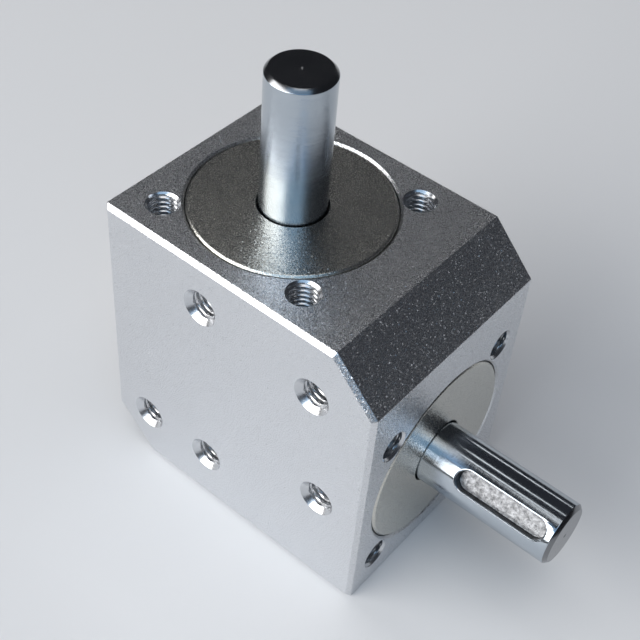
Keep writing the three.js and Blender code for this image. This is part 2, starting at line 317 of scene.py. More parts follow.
def to_mesh(bm, name, place=Matrix()):
    """A mesh in metres, put in place by a matrix in millimetres."""
    bm.transform(Matrix.Scale(METRES, 4) @ place)
    mesh = bpy.data.meshes.new(name)
    bm.to_mesh(mesh)
    bm.free()
    return mesh


def link(name, mesh):
    """A new object in the scene that shows the mesh."""
    made = bpy.data.objects.new(name, mesh)
    bpy.context.scene.collection.objects.link(made)
    return made


def combine(base, tools, operation="DIFFERENCE"):
    """The base solid with the tool solids cut out of it, or joined on to it."""
    body = link("body", to_mesh(base, "body"))
    others = [link("tool", to_mesh(tool, "tool")) for tool in tools]
    for other in others:
        modifier = body.modifiers.new("combine", "BOOLEAN")
        modifier.operation = operation
        modifier.solver = "MANIFOLD"
        modifier.object = other
    graph = bpy.context.evaluated_depsgraph_get()
    result = bmesh.new()
    result.from_mesh(bpy.data.meshes.new_from_object(body.evaluated_get(graph)))
    result.transform(Matrix.Scale(1 / METRES, 4))
    bmesh.ops.remove_doubles(result, verts=result.verts, dist=SLIVER)
    bmesh.ops.dissolve_degenerate(result, dist=SLIVER, edges=result.edges)
    for other in [body, *others]:
        bpy.data.objects.remove(other)
    return result


def moved(bm, place):
    """The solid itself, put in place."""
    bm.transform(place)
    return bm


def piece(name, node, mesh, materials, smooth_angle=30):
    """A finished visible piece: it rides on its CAD node's body and stands for that node."""
    made = link(name, mesh)
    for material in materials:
        mesh.materials.append(material)
    mesh.shade_smooth()
    mesh.set_sharp_from_angle(angle=math.radians(smooth_angle))
    weighted = made.modifiers.new("weighted_normals", "WEIGHTED_NORMAL")
    weighted.keep_sharp = True
    body = BODY_OF_NODE[node]
    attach(made, body)
    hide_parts(node)


BODY_OF_NODE = {
    node: body
    for body, nodes in frame["record"]["behaviour"]["bodies"].items()
    for node in nodes
}

# ------------------------------------------------------------------------ material tools


def add(tree, kind, inputs=None, **settings):
    """A node with its settings and inputs. An input that is a socket is linked."""
    made = tree.nodes.new(kind)
    for name, value in settings.items():
        setattr(made, name, value)
    for name, value in (inputs or {}).items():
        if isinstance(value, bpy.types.NodeSocket):
            tree.links.new(value, made.inputs[name])
        else:
            made.inputs[name].default_value = value
    return made


def new_material(name, color, metallic=1.0):
    """A material with a Principled shader, its node tree, and the shader node."""
    material = bpy.data.materials.new(name)
    material.use_nodes = True
    tree = material.node_tree
    shader = tree.nodes["Principled BSDF"]
    shader.inputs["Base Color"].default_value = (*color, 1)
    shader.inputs["Metallic"].default_value = metallic
    return material, tree, shader


def object_place(tree):
    """The place on the object, in metres."""
    return add(tree, "ShaderNodeTexCoord").outputs["Object"]


def noise(tree, where, scale, detail=3.0, roughness=0.5):
    """Noise from 0 to 1. The scale is in features per metre."""
    inputs = {"Vector": where, "Scale": scale, "Detail": detail, "Roughness": roughness}
    return add(tree, "ShaderNodeTexNoise", inputs).outputs["Fac"]


def remap(tree, value, low, high, start=0.0, end=1.0):
    """A value that runs from low to high while the given value runs from start to end."""
    inputs = {
        "Value": value,
        "From Min": start,
        "From Max": end,
        "To Min": low,
        "To Max": high,
    }
    return add(tree, "ShaderNodeMapRange", inputs).outputs["Result"]


def tint(tree, shader, amount, color, darkest):
    """Gives the shader the color where the amount is 1, and a darkened one where it is 0."""
    mix = add(tree, "ShaderNodeMix", data_type="RGBA")
    tree.links.new(amount, mix.inputs["Factor"])
    mix.inputs["A"].default_value = (*(c * darkest for c in color), 1)
    mix.inputs["B"].default_value = (*color, 1)
    tree.links.new(mix.outputs["Result"], shader.inputs["Base Color"])


def bump(tree, height, depth, normal=None):
    """A normal for a height that runs from 0 to 1 over a depth in millimetres."""
    inputs = {"Height": height, "Distance": depth * METRES, "Strength": 1.0}
    if normal is not None:
        inputs["Normal"] = normal
    return add(tree, "ShaderNodeBump", inputs).outputs["Normal"]


def vector_math(tree, operation, first, second=None):
    """A vector math node. A socket is linked to it, and anything else is a fixed value."""
    made = add(tree, "ShaderNodeVectorMath", operation=operation)
    for i, value in enumerate([first, second]):
        if isinstance(value, bpy.types.NodeSocket):
            tree.links.new(value, made.inputs[i])
        elif value is not None:
            made.inputs[i].default_value = value
    return made


def sparkling_normal(tree, where, cells, strength, normal):
    """A normal tilted at random in each tiny cell: slightly in most cells, strongly in a few."""
    cell = add(tree, "ShaderNodeTexVoronoi", {"Vector": where, "Scale": cells})
    middle_grey = (0.5, 0.5, 0.5)
    contrast = 2.0
    centred = vector_math(tree, "SUBTRACT", cell.outputs["Color"], middle_grey).outputs[0]
    size = vector_math(tree, "DOT_PRODUCT", centred, centred).outputs["Value"]
    weight = add(tree, "ShaderNodeMath", {0: size, 1: contrast}, operation="POWER").outputs[0]
    grown = vector_math(tree, "SCALE", centred)
    tree.links.new(weight, grown.inputs["Scale"])
    tilt = vector_math(tree, "SCALE", grown.outputs[0])
    tilt.inputs["Scale"].default_value = strength
    tilted = vector_math(tree, "ADD", normal, tilt.outputs[0]).outputs[0]
    return vector_math(tree, "NORMALIZE", tilted).outputs[0]


def turning_place(tree, place):
    """Distance from a shaft's axis and height along it, as a vector: the same all round."""
    to_local = (Matrix.Scale(METRES, 4) @ place @ Matrix.Scale(1 / METRES, 4)).inverted()
    mapping = add(tree, "ShaderNodeMapping", {"Vector": object_place(tree)})
    mapping.inputs["Location"].default_value = to_local.to_translation()
    mapping.inputs["Rotation"].default_value = to_local.to_euler()
    parts = add(tree, "ShaderNodeSeparateXYZ", {"Vector": mapping.outputs["Vector"]})
    flat = add(tree, "ShaderNodeCombineXYZ")
    tree.links.new(parts.outputs["X"], flat.inputs["X"])
    tree.links.new(parts.outputs["Y"], flat.inputs["Y"])
    radius = vector_math(tree, "LENGTH", flat.outputs[0]).outputs["Value"]
    result = add(tree, "ShaderNodeCombineXYZ")
    tree.links.new(radius, result.inputs["X"])
    tree.links.new(parts.outputs["Z"], result.inputs["Y"])
    return result.outputs[0]


# ------------------------------------------------------------------------ materials

# Sizes of the marks in metal, in features per metre
PATCHES = 60
SMUDGES = 140
UNEVENNESS = 700
TEARS = 1300
WIDE_LINES = 1500
DENTS = 3600
GRIT = 4000
PITS = 4200
GLITTER = 5200
STREAKS = 6000
FINE_LINES = 9000


def blasted_aluminium(name, color, roughness, grain, sparkle):
    """Clear-anodised aluminium with the even grain of bead blasting, some of which glitters."""
    material, tree, shader = new_material(name, color)
    where = object_place(tree)
    tint(tree, shader, noise(tree, where, PATCHES, detail=4), color, darkest=0.95)
    uneven = noise(tree, where, GLITTER, detail=2, roughness=0.6)
    spread = 0.06
    rough = remap(tree, uneven, roughness - spread, roughness + spread, start=0.3, end=0.7)
    tree.links.new(rough, shader.inputs["Roughness"])
    normal = bump(tree, noise(tree, where, DENTS, detail=3, roughness=0.65), grain)
    normal = sparkling_normal(tree, where, GLITTER, sparkle, normal)
    tree.links.new(normal, shader.inputs["Normal"])
    return material


def turned_metal(name, color, place, roughness, lines, grain):
    """Metal off a lathe: fine lines all the way round, on flats and on round sides alike."""
    material, tree, shader = new_material(name, color)
    around = turning_place(tree, place)
    where = object_place(tree)
    smudges = noise(tree, where, SMUDGES, detail=4, roughness=0.6)
    tint(tree, shader, smudges, color, darkest=0.88)
    wide_share = 0.4
    rough = remap(tree, smudges, roughness * 0.8, roughness * 1.3, start=0.1, end=0.9)
    tree.links.new(rough, shader.inputs["Roughness"])
    normal = bump(tree, noise(tree, around, WIDE_LINES, detail=2), wide_share * lines)
    normal = bump(tree, noise(tree, around, FINE_LINES, detail=2, roughness=0.7), lines, normal)
    normal = bump(tree, noise(tree, where, PITS, detail=2, roughness=0.6), grain, normal)
    tree.links.new(normal, shader.inputs["Normal"])
    return material


def milled_steel(name, color, place, roughness):
    """The floor that an end mill leaves in a keyway: drawn out along the shaft, and torn."""
    material, tree, shader = new_material(name, color)
    where = object_place(tree)
    drawn_out = (1, 0.12, 1)
    lengthwise = vector_math(tree, "MULTIPLY", turning_place(tree, place), drawn_out).outputs[0]
    torn = noise(tree, where, TEARS, detail=4, roughness=0.7)
    fine = noise(tree, where, PITS, detail=2, roughness=0.6)
    tint(tree, shader, remap(tree, torn, 0, 1, start=0.35, end=0.65), color, darkest=0.3)
    tree.links.new(remap(tree, fine, roughness * 0.7, roughness * 1.5), shader.inputs["Roughness"])
    normal = bump(tree, torn, depth=0.09)
    streaks = noise(tree, lengthwise, STREAKS, detail=3, roughness=0.6)
    normal = bump(tree, streaks, depth=0.05, normal=normal)
    normal = bump(tree, fine, depth=0.012, normal=normal)
    tree.links.new(normal, shader.inputs["Normal"])
    return material


def plain_metal(name, color, roughness, metallic=1.0):
    """A coated or pressed metal with a slight unevenness."""
    material, tree, shader = new_material(name, color, metallic)
    where = object_place(tree)
    uneven = noise(tree, where, UNEVENNESS, detail=4, roughness=0.6)
    tint(tree, shader, uneven, color, darkest=0.75)
    tree.links.new(remap(tree, uneven, roughness * 0.8, roughness * 1.25), shader.inputs["Roughness"])
    normal = bump(tree, noise(tree, where, GRIT, detail=3, roughness=0.6), depth=0.01)
    tree.links.new(normal, shader.inputs["Normal"])
    return material


HOUSING_ALUMINIUM = blasted_aluminium(
    "housing_aluminium", (0.76, 0.77, 0.79), roughness=0.28, grain=0.06, sparkle=1.8,
)
HOLDER_ALUMINIUM = blasted_aluminium(
    "holder_aluminium", (0.65, 0.64, 0.59), roughness=0.25, grain=0.038, sparkle=1.2,
)
THREAD_ALUMINIUM = plain_metal("thread_aluminium", (0.74, 0.75, 0.77), roughness=0.24)
BALL_STEEL = plain_metal("ball_steel", (0.72, 0.72, 0.74), roughness=0.07)
CAGE_BRASS = plain_metal("cage_brass", (0.68, 0.5, 0.22), roughness=0.32)
SPRING_STEEL = plain_metal("spring_steel", (0.1, 0.1, 0.11), roughness=0.38, metallic=0.9)
BLACK_STEEL = plain_metal("black_steel", (0.035, 0.035, 0.04), roughness=0.42, metallic=0.6)

# ------------------------------------------------------------------------ housing


def tapped_hole(length, sink_radius):
    """Cutting tool for a tapped hole that opens at height 0, with its thread."""
    over = 0.4
    run_out = 1.5

    def radius_at(turn, height):
        fading = min(1, max(0, (height + length) / run_out))
        depth = 1 - thread_height(turn - height / THREAD_PITCH)
        root = THREAD_CORE + (THREAD_RADIUS - THREAD_CORE) * depth * fading
        return max(root, sink_radius + height)

    heights = steps_between(-length, over, THREAD_PITCH / STEPS_PER_PITCH)
    return threaded(radius_at, heights, -length - DRILL_POINT, over + 0.1)


def shaft_bore():
    """Cutting tool for the stepped bore that takes a bearing holder."""
    ledge_at = FACE_AT - FLANGE_THICKNESS
    over = 1
    return turned([
        (0, CHAMBER_FLOOR_AT),
        (BARREL_RADIUS, CHAMBER_FLOOR_AT),
        (BARREL_RADIUS, ledge_at),
        (FLANGE_RADIUS, ledge_at),
        (FLANGE_RADIUS, FACE_AT - FLANGE_BORE_CHAMFER),
        (FLANGE_RADIUS + FLANGE_BORE_CHAMFER + over, FACE_AT + over),
        (0, FACE_AT + over),
    ], FINE)


def block():
    """The block with its edge breaks, and a slight rounding on every edge."""
    left = -AXIS_HEIGHT
    right = FACE_AT
    outline = [
        (left + SMALL_CORNER, 0),
        (right, 0),
        (right, SIDE - LARGE_CORNER),
        (right - LARGE_CORNER, SIDE),
        (left, SIDE),
        (left, SMALL_CORNER),
    ]

    def inset(amount):
        count = len(outline)
        result = []
        for i, corner in enumerate(outline):
            here = Vector(corner)
            before = (here - Vector(outline[i - 1])).normalized()
            after = (Vector(outline[(i + 1) % count]) - here).normalized()
            inward = Vector((-before.y, before.x)) + Vector((-after.y, after.x))
            result.append(here + inward * (amount / (1 + before.dot(after))))
        return result

    half = DEPTH / 2
    layers = [
        (-half, EDGE_BREAK),
        (EDGE_BREAK - half, 0),
        (half - EDGE_BREAK, 0),
        (half, EDGE_BREAK),
    ]
    bm = loft([[(p.x, y, p.y) for p in inset(amount)] for y, amount in layers])
    bmesh.ops.bevel(
        bm,
        geom=bm.edges[:],
        offset=EDGE_ROUNDING,
        segments=2,
        affect="EDGES",
        profile=0.5,
        clamp_overlap=True,
    )
    return bm


def housing():
    """The block with both bores and every tapped hole cut into it."""
    tools = []
    for shaft_row in SHAFTS.values():
        tools.append(moved(shaft_bore(), shaft_row["place"]))
        for x in (-BOLT_REACH, BOLT_REACH):
            for y in (-BOLT_REACH, BOLT_REACH):
                at = Matrix.Translation((x, y, FACE_AT))
                tool = tapped_hole(DEEP_TAP, BOLT_SINK_RADIUS)
                tools.append(moved(tool, shaft_row["place"] @ at))
    for sign in (-1, 1):
        facing = Matrix.Rotation(math.radians(-90 * sign), 4, "X")
        for x, z, length in SIDE_HOLES:
            at = Matrix.Translation((x, sign * DEPTH / 2, z))
            tools.append(moved(tapped_hole(length, SIDE_SINK_RADIUS), at @ facing))
    bm = combine(block(), tools)
    mark_threads(bm)
    mesh = to_mesh(bm, "housing_body")
    metals = [HOUSING_ALUMINIUM, THREAD_ALUMINIUM]
    piece("housing_body", "housing", mesh, metals, smooth_angle=16)


def mark_threads(bm):
    """Gives the threads' small facets, which are cut after blasting, the second material."""
    largest_facet = 0.15
    inside = 0.01
    for face in bm.faces:
        if face.calc_area() < largest_facet:
            centre = face.calc_center_median()
            outward = [abs(centre.y) - DEPTH / 2, centre.x - FACE_AT, centre.z - SIDE]
            face.material_index = 1 if max(outward) < -inside else 0


# ------------------------------------------------------------------------ bearing holder


def bearing_holder(prefix, place):
    """The flange is flush with the housing, with a fine groove between them."""
    clip_top = BEARINGS_END_AT - GAP
    clip_low = clip_top - HOLDER_CLIP_THICKNESS
    bore = BEARING_OUTER + GAP
    flange = FLANGE_RADIUS - FLANGE_PLAY
    profile = [
        (BARREL_RADIUS - GAP, BARREL_END_AT),
        (BARREL_RADIUS - GAP, FACE_AT - FLANGE_THICKNESS + GAP),
        (flange, FACE_AT - FLANGE_THICKNESS + GAP),
        (flange, FACE_AT - FLANGE_CHAMFER),
        (flange - FLANGE_CHAMFER, FACE_AT),
        (LIP_BORE + LIP_CHAMFER, FACE_AT),
        (LIP_BORE, FACE_AT - LIP_CHAMFER),
        (LIP_BORE, FACE_AT - LIP_THICKNESS),
        (CLIP_RECESS_RADIUS, FACE_AT - LIP_THICKNESS),
        (CLIP_RECESS_RADIUS, OUTER_BEARING_TOP),
        (bore, OUTER_BEARING_TOP),
        (bore, clip_top + GAP),
        (HOLDER_GROOVE_RADIUS, clip_top + GAP),
        (HOLDER_GROOVE_RADIUS, clip_low - GAP),
        (bore, clip_low - GAP),
        (bore, BARREL_END_AT),
    ]
    name = f"{prefix}_holder"
    mesh = to_mesh(turned(eased(profile, size=0.08, steps=2), FINE), name, place)
    piece(name, f"{prefix}_bearing_holder", mesh, [HOLDER_ALUMINIUM])


# ------------------------------------------------------------------------ bearings


def groove(land, middle, upward):
    """Points along a ball groove, on an arc a little larger than the ball."""
    steps = 8
    heights = [GROOVE_REACH * (2 * i / steps - 1) for i in range(steps + 1)]
    if not upward:
        heights.reverse()
    way = 1 if land > BALL_PITCH else -1
    play = 0.04
    arc = BALL_RADIUS + play
    return [(BALL_PITCH + way * math.sqrt(arc * arc - h * h), middle + h) for h in heights]


def outer_race(top):
    """The outer race, with its groove on the inside."""
    low = top - BEARING_WIDTH
    outside = BEARING_OUTER - GAP
    return turned([
        (OUTER_LAND + LAND_CHAMFER, low),
        (outside - RACE_CHAMFER, low),
        (outside, low + RACE_CHAMFER),
        (outside, top - RACE_CHAMFER),
        (outside - RACE_CHAMFER, top),
        (OUTER_LAND + LAND_CHAMFER, top),
        (OUTER_LAND, top - LAND_CHAMFER),
        *groove(OUTER_LAND, top - BEARING_WIDTH / 2, upward=False),
        (OUTER_LAND, low + LAND_CHAMFER),
    ])


def inner_race(top):
    """The inner race, with its groove on the outside."""
    low = top - BEARING_WIDTH
    bore = BEARING_BORE + GAP
    return turned([
        (bore, low + RACE_CHAMFER),
        (bore + RACE_CHAMFER, low),
        (INNER_LAND - LAND_CHAMFER, low),
        (INNER_LAND, low + LAND_CHAMFER),
        *groove(INNER_LAND, top - BEARING_WIDTH / 2, upward=True),
        (INNER_LAND, top - LAND_CHAMFER),
        (INNER_LAND - LAND_CHAMFER, top),
        (bore + RACE_CHAMFER, top),
        (bore, top - RACE_CHAMFER),
    ])


def cage_half(middle, side):
    """One half of a ribbon cage, which swells round each ball and lies flat between them."""
    play = 0.1
    pocket = BALL_RADIUS + play
    thickness = 0.25
    width = 0.9
    inner = BALL_PITCH - width / 2
    outer = BALL_PITCH + width / 2
    half_gap = 0.02
    steps_per_ball = 20
    steps = BALL_COUNT * steps_per_ball
    rows = []
    for i in range(steps):
        angle = i / steps * math.tau
        from_ball = (i / steps_per_ball + 0.5) % 1 - 0.5
        along = from_ball / BALL_COUNT * math.tau * BALL_PITCH
        low = max(half_gap, math.sqrt(max(0, pocket * pocket - along * along)))
        high = low + thickness
        rows.append([
            (radius * math.cos(angle), radius * math.sin(angle), middle + side * height)
            for radius, height in [(inner, low), (outer, low), (outer, high), (inner, high)]
        ])
    return loft(rows, closed=True)


def ball_set(prefix, bearing, top, place):
    """The balls and their two-piece cage, as one piece."""
    middle = top - BEARING_WIDTH / 2
    bm = bmesh.new()
    for i in range(BALL_COUNT):
        angle = i / BALL_COUNT * math.tau
        at = (BALL_PITCH * math.cos(angle), BALL_PITCH * math.sin(angle), middle)
        ball_place = Matrix.Translation(at)
        bmesh.ops.create_icosphere(bm, subdivisions=3, radius=BALL_RADIUS, matrix=ball_place)
    steel_faces = len(bm.faces)
    for side in (-1, 1):
        half = bpy.data.meshes.new("half")
        cage_half(middle, side).to_mesh(half)
        bm.from_mesh(half)
    bm.faces.ensure_lookup_table()
    for face in bm.faces[steel_faces:]:
        face.material_index = 1
    name = f"{prefix}_{bearing}_balls_and_cage"
    mesh = to_mesh(bm, name, place)
    piece(name, f"{prefix}_{bearing}_ball_set", mesh, [BALL_STEEL, CAGE_BRASS])


def shield(low):
    """A pressed shield, thinner between its rims."""
    inner_gap = 0.2
    outer_gap = 0.15
    web_thickness = 0.2
    inner = INNER_LAND + inner_gap
    outer = OUTER_LAND - outer_gap
    rim_top = low + SHIELD_THICKNESS
    web_top = low + web_thickness
    rim_width = 0.5
    web_inset = 0.7
    profile = [
        (inner, low),
        (outer, low),
        (outer, rim_top),
        (outer - rim_width, rim_top),
        (outer - web_inset, web_top),
        (inner + web_inset, web_top),
        (inner + rim_width, rim_top),
        (inner, rim_top),
    ]
    return turned(eased(profile, size=0.05, steps=1))


def bearings(prefix, place, steel):
    """Both bearings of a shaft, each with its shield on the side that faces out of the pair."""
    rows = [
        ("outer_bearing", OUTER_BEARING_TOP, OUTER_BEARING_TOP - SHIELD_THICKNESS - GAP),
        ("inner_bearing", INNER_BEARING_TOP, BEARINGS_END_AT + GAP),
    ]
    for bearing, top, shield_low in rows:
        shapes = {
            "outer_race": outer_race(top),
            "inner_race": inner_race(top),
            "shield": shield(shield_low),
        }
        for part, shape in shapes.items():
            node = f"{prefix}_{bearing}_{part}"
            piece(f"{node}_turned", node, to_mesh(shape, node, place), [steel])
        ball_set(prefix, bearing, top, place)


def spacers(prefix, place, steel):
    """The rings that hold the two bearings apart."""
    low = INNER_BEARING_TOP + GAP
    high = OUTER_BEARING_TOP - BEARING_WIDTH - GAP
    shapes = {
        "outer_spacer": ring(OUTER_SPACER_BORE, BEARING_OUTER - GAP, low, high),
        "inner_spacer": ring(BEARING_BORE + GAP, INNER_SPACER_RADIUS, low, high),
    }
    for part, shape in shapes.items():
        node = f"{prefix}_{part}"
        piece(f"{node}_turned", node, to_mesh(shape, node, place), [steel])


# ------------------------------------------------------------------------ shaft


def beside_axis(angle, out, across, along):
    """A point so far out from the axis at an angle, across from there, and along the axis."""
    return (
        out * math.cos(angle) - across * math.sin(angle),
        out * math.sin(angle) + across * math.cos(angle),
        along,
    )


def keyway_tool(angle):
    """Cuts a round-ended keyway, and breaks its edge by the same width all the way round."""
    half_width = KEYWAY_WIDTH / 2
    half_straight = KEYWAY_LENGTH / 2 - half_width
    floor = SHAFT_RADIUS - KEYWAY_DEPTH
    arc_steps = 24

    def outline(offset):
        radius = half_width + offset
        points = []
        for end in (1, -1):
            for i in range(arc_steps + 1):
                turn = math.pi * (i / arc_steps + (0 if end > 0 else 1))
                along = end * half_straight + radius * math.sin(turn)
                points.append((radius * math.cos(turn), along))
        return points

    def level_row(offset, out):
        return [
            beside_axis(angle, out, across, KEYWAY_MIDDLE + along)
            for across, along in outline(offset)
        ]

    def surface_row(offset, below):
        return [
            beside_axis(
                angle,
                math.sqrt(SHAFT_RADIUS ** 2 - across ** 2) - below,
                across,
                KEYWAY_MIDDLE + along,
            )
            for across, along in outline(offset)
        ]

    # Offset from the wall and height above the floor, round the fillet at the foot of the wall
    fillet = [(-0.3, 0), (-0.08, 0.08), (0, 0.3)]
    # Offset from the wall and depth below the shaft's surface, round the broken edge
    broken_edge = [(0, 0.38), (0.05, 0.2), (0.17, 0.07), (0.36, 0), (0.5, -0.04)]
    above_shaft = SHAFT_RADIUS + 2
    rows = [level_row(offset, floor + height) for offset, height in fillet]
    rows += [surface_row(offset, below) for offset, below in broken_edge]
    rows.append(level_row(broken_edge[-1][0], above_shaft))
    return loft(rows)


def key_seat_tool(angle):
    """Cuts the seat for the gear's key."""
    half = KEY_SEAT_WIDTH / 2
    reach = KEY_SEAT_LENGTH / 2
    corners = [(-half, -reach), (half, -reach), (half, reach), (-half, reach)]
    return loft([
        [beside_axis(angle, out, across, KEY_SEAT_MIDDLE + along) for across, along in corners]
        for out in (KEY_SEAT_FLOOR, SHAFT_RADIUS)
    ])


def screw_hole_tool():
    """Cuts the hole for the clamping screw, with its drill point."""
    point = 1
    profile = [
        (0, SCREW_HOLE_FROM),
        (SCREW_HOLE_RADIUS, SCREW_HOLE_FROM),
        (SCREW_HOLE_RADIUS, SCREW_HOLE_END_AT),
        (0, SCREW_HOLE_END_AT + point),
    ]
    return turned(profile, SMALL)


def shaft(prefix, place, keyway_angle, lines):
    """A stepped shaft. It stops short of the gear's front, so that the washer grips the gear."""
    hub_end = BEARINGS_END_AT - GAP
    groove_low = SHAFT_CLIP_FROM - GAP
    groove_high = SHAFT_CLIP_FROM + SHAFT_CLIP_THICKNESS + GAP
    inner_end = GEAR_FRONT_AT + SHAFT_SETBACK
    profile = [
        (0, inner_end),
        (GEAR_BORE, inner_end),
        (GEAR_BORE, hub_end),
        (SHAFT_RADIUS, hub_end),
        (SHAFT_RADIUS, groove_low),
        (SHAFT_GROOVE_RADIUS, groove_low),
        (SHAFT_GROOVE_RADIUS, groove_high),
        (SHAFT_RADIUS, groove_high),
        (SHAFT_RADIUS, SHAFT_END_AT - SHAFT_CHAMFER),
        (SHAFT_RADIUS - SHAFT_CHAMFER, SHAFT_END_AT),
        (CENTRE_MARK, SHAFT_END_AT),
        (0, SHAFT_END_AT - CENTRE_MARK),
    ]
    blank = turned(eased(profile, size=0.07, steps=2), FINE)
    tools = [screw_hole_tool(), keyway_tool(keyway_angle), key_seat_tool(KEY_SEAT_ANGLE)]
    bm = combine(blank, tools)
    mark_keyway_and_end(bm, keyway_angle)
    steel = turned_metal(
        f"{prefix}_shaft_steel", (0.53, 0.58, 0.63), place, roughness=0.12, lines=lines, grain=0.001,
    )
    # The end's steel is the shaft's steel at about half the brightness: painted shade on the shaft's
    # end face and most of its chamfer
    shade_painted_end = turned_metal(
        f"{prefix}_shaded_end_face_steel", (0.26, 0.265, 0.275), place, roughness=0.2, lines=0.001, grain=0.001,
    )
    milled = milled_steel(f"{prefix}_keyway_steel", (0.3, 0.305, 0.315), place, roughness=0.32)
    name = f"{prefix}_shaft_body"
    metals = [steel, milled, shade_painted_end]
    piece(name, f"{prefix}_shaft", to_mesh(bm, name, place), metals)


def mark_keyway_and_end(bm, angle):
    """Gives the keyway's floor and walls the second material, and the end face the third: the shaft's
    steel darkened, which paints shade on the shaft's end.
    """
    out = Vector((math.cos(angle), math.sin(angle), 0))
    inside = SHAFT_RADIUS - 0.3
    for face in bm.faces:
        centre = face.calc_center_median()
        if math.hypot(centre.x, centre.y) >= inside:
            continue
        in_length = abs(centre.z - KEYWAY_MIDDLE) < KEYWAY_LENGTH / 2
        if in_length and centre.dot(out) > SHAFT_RADIUS / 2:
            face.material_index = 1
        elif centre.z > SHAFT_END_AT - 2 * CENTRE_MARK:
            face.material_index = 2


# ------------------------------------------------------------------------ gear and fastenings


def tooth_outline(first_angle):
    """The teeth at their large end, as (radius, angle), on a cone unrolled into a flat gear."""
    cone = math.radians(45)
    pressure = math.radians(20)
    pitch = PITCH_RADIUS / math.cos(cone)
    base = pitch * math.cos(pressure)
    virtual_teeth = GEAR_TEETH / math.cos(cone)

    def involute(angle):
        return math.tan(angle) - angle

    def half_angle(radius):
        local = math.acos(base / max(radius, base))
        flank = involute(pressure) - involute(local)
        return math.pi / 2 / virtual_teeth + flank - FLANK_RELIEF / pitch

    steps = 8
    tooth_height = 2.25
    root_depth = 1.25
    levels = [
        pitch + GEAR_MODULE * (i / steps * tooth_height - root_depth) for i in range(steps + 1)
    ]
    points = []
    for tooth in range(GEAR_TEETH):
        centre = first_angle + tooth / GEAR_TEETH * math.tau
        for way, order in ((-1, levels), (1, levels[::-1])):
            for level in order:
                angle = centre + way * half_angle(level) / math.cos(cone)
                points.append((level * math.cos(cone), angle))
    return points


def gear_rim(first_angle):
    """The toothed rim. Its teeth shrink towards the tip of the cone, at the origin."""
    cone_length = PITCH_RADIUS / math.sin(math.radians(45))
    near = (cone_length - TOOTH_FACE) / cone_length
    outline = tooth_outline(first_angle)

    def row(scale, fixed_radius=None):
        result = []
        for radius, angle in outline:
            radius = fixed_radius or radius
            height = min(2 * PITCH_RADIUS - radius, GEAR_BACK_AT)
            flat = radius * scale
            result.append((flat * math.cos(angle), flat * math.sin(angle), height * scale))
        return result

    return loft([row(1), row(near), row(near, RIM_BORE), row(1, RIM_BORE)], closed=True)


def key_slot_tool():
    """Cuts the slot for the key, right through the gear."""
    bm = bmesh.new()
    size = Matrix.Diagonal((KEY_SLOT_WIDTH, KEY_SLOT_REACH, KEY_SLOT_LENGTH, 1))
    at = Matrix.Translation((0, KEY_SLOT_REACH / 2, KEY_SEAT_MIDDLE))
    bmesh.ops.create_cube(bm, size=1, matrix=at @ size)
    return bm


def gear(prefix, place, first_tooth, steel):
    """A mitre gear: the toothed rim joined to its hub, with a slot for the key."""
    bore = GEAR_BORE + GAP
    profile = [
        (bore, GEAR_FRONT_AT),
        (GEAR_NOSE_RADIUS, GEAR_FRONT_AT),
        (GEAR_WEB_RADIUS, GEAR_WEB_AT),
        (GEAR_BACK_RADIUS, GEAR_BACK_AT),
        (GEAR_HUB_RADIUS, GEAR_BACK_AT),
        (GEAR_HUB_RADIUS, BEARINGS_END_AT - 2 * GAP),
        (bore, BEARINGS_END_AT - 2 * GAP),
    ]
    hub = turned(eased(profile, size=0.12))
    whole = combine(gear_rim(first_tooth), [hub], "UNION")
    name = f"{prefix}_gear_cut"
    mesh = to_mesh(combine(whole, [key_slot_tool()]), name, place)
    piece(name, f"{prefix}_gear", mesh, [steel])


def gear_washer(prefix, place):
    """The washer between the screw's head and the gear's front."""
    washer_top = WASHER_FROM + WASHER_THICKNESS
    shape = ring(WASHER_BORE, WASHER_RADIUS, WASHER_FROM, washer_top, ease=0.12)
    node = f"{prefix}_gear_washer"
    piece(f"{node}_pressed", node, to_mesh(shape, node, place), [BLACK_STEEL])


def gear_screw(prefix, place):
    """A button head screw with a hexagon socket and a real thread."""
    seat_at = WASHER_FROM - GAP
    top_at = seat_at - SCREW_HEAD_HEIGHT
    thread_end = seat_at + SCREW_LENGTH
    small_step = 0.02
    run_out = 0.5
    seat_edge = 0.1
    socket_point = 0.3
    dome = [(2.2, 0), (2.9, 0.4), (3.3, 0.9), (3.55, 1.5), (SCREW_HEAD_RADIUS, 1.8)]
    head = [(radius, top_at + depth) for radius, depth in dome]
    head.append((SCREW_HEAD_RADIUS, seat_at - small_step))
    head.append((SCREW_HEAD_RADIUS - seat_edge, seat_at))
    head_radii = {round(height, 3): radius for radius, height in head}

    def radius_at(turn, height):
        if round(height, 3) in head_radii:
            return head_radii[round(height, 3)]
        fading = min(1, (thread_end - height) / run_out)
        return SCREW_CORE + SCREW_THREAD_DEPTH * thread_height(turn - height / SCREW_PITCH) * fading

    heights = [height for _, height in head]
    heights += steps_between(seat_at + small_step, thread_end, SCREW_PITCH / STEPS_PER_PITCH)
    body = threaded(radius_at, heights, top_at, thread_end + small_step)
    socket_end = top_at + SOCKET_DEPTH
    socket_profile = [
        (0, top_at - 1),
        (SOCKET_RADIUS, top_at - 1),
        (SOCKET_RADIUS, socket_end),
        (0, socket_end + socket_point),
    ]
    socket = turned(socket_profile, facets=6)
    node = f"{prefix}_gear_screw"
    mesh = to_mesh(combine(body, [socket]), node, place)
    piece(f"{node}_threaded", node, mesh, [BLACK_STEEL])


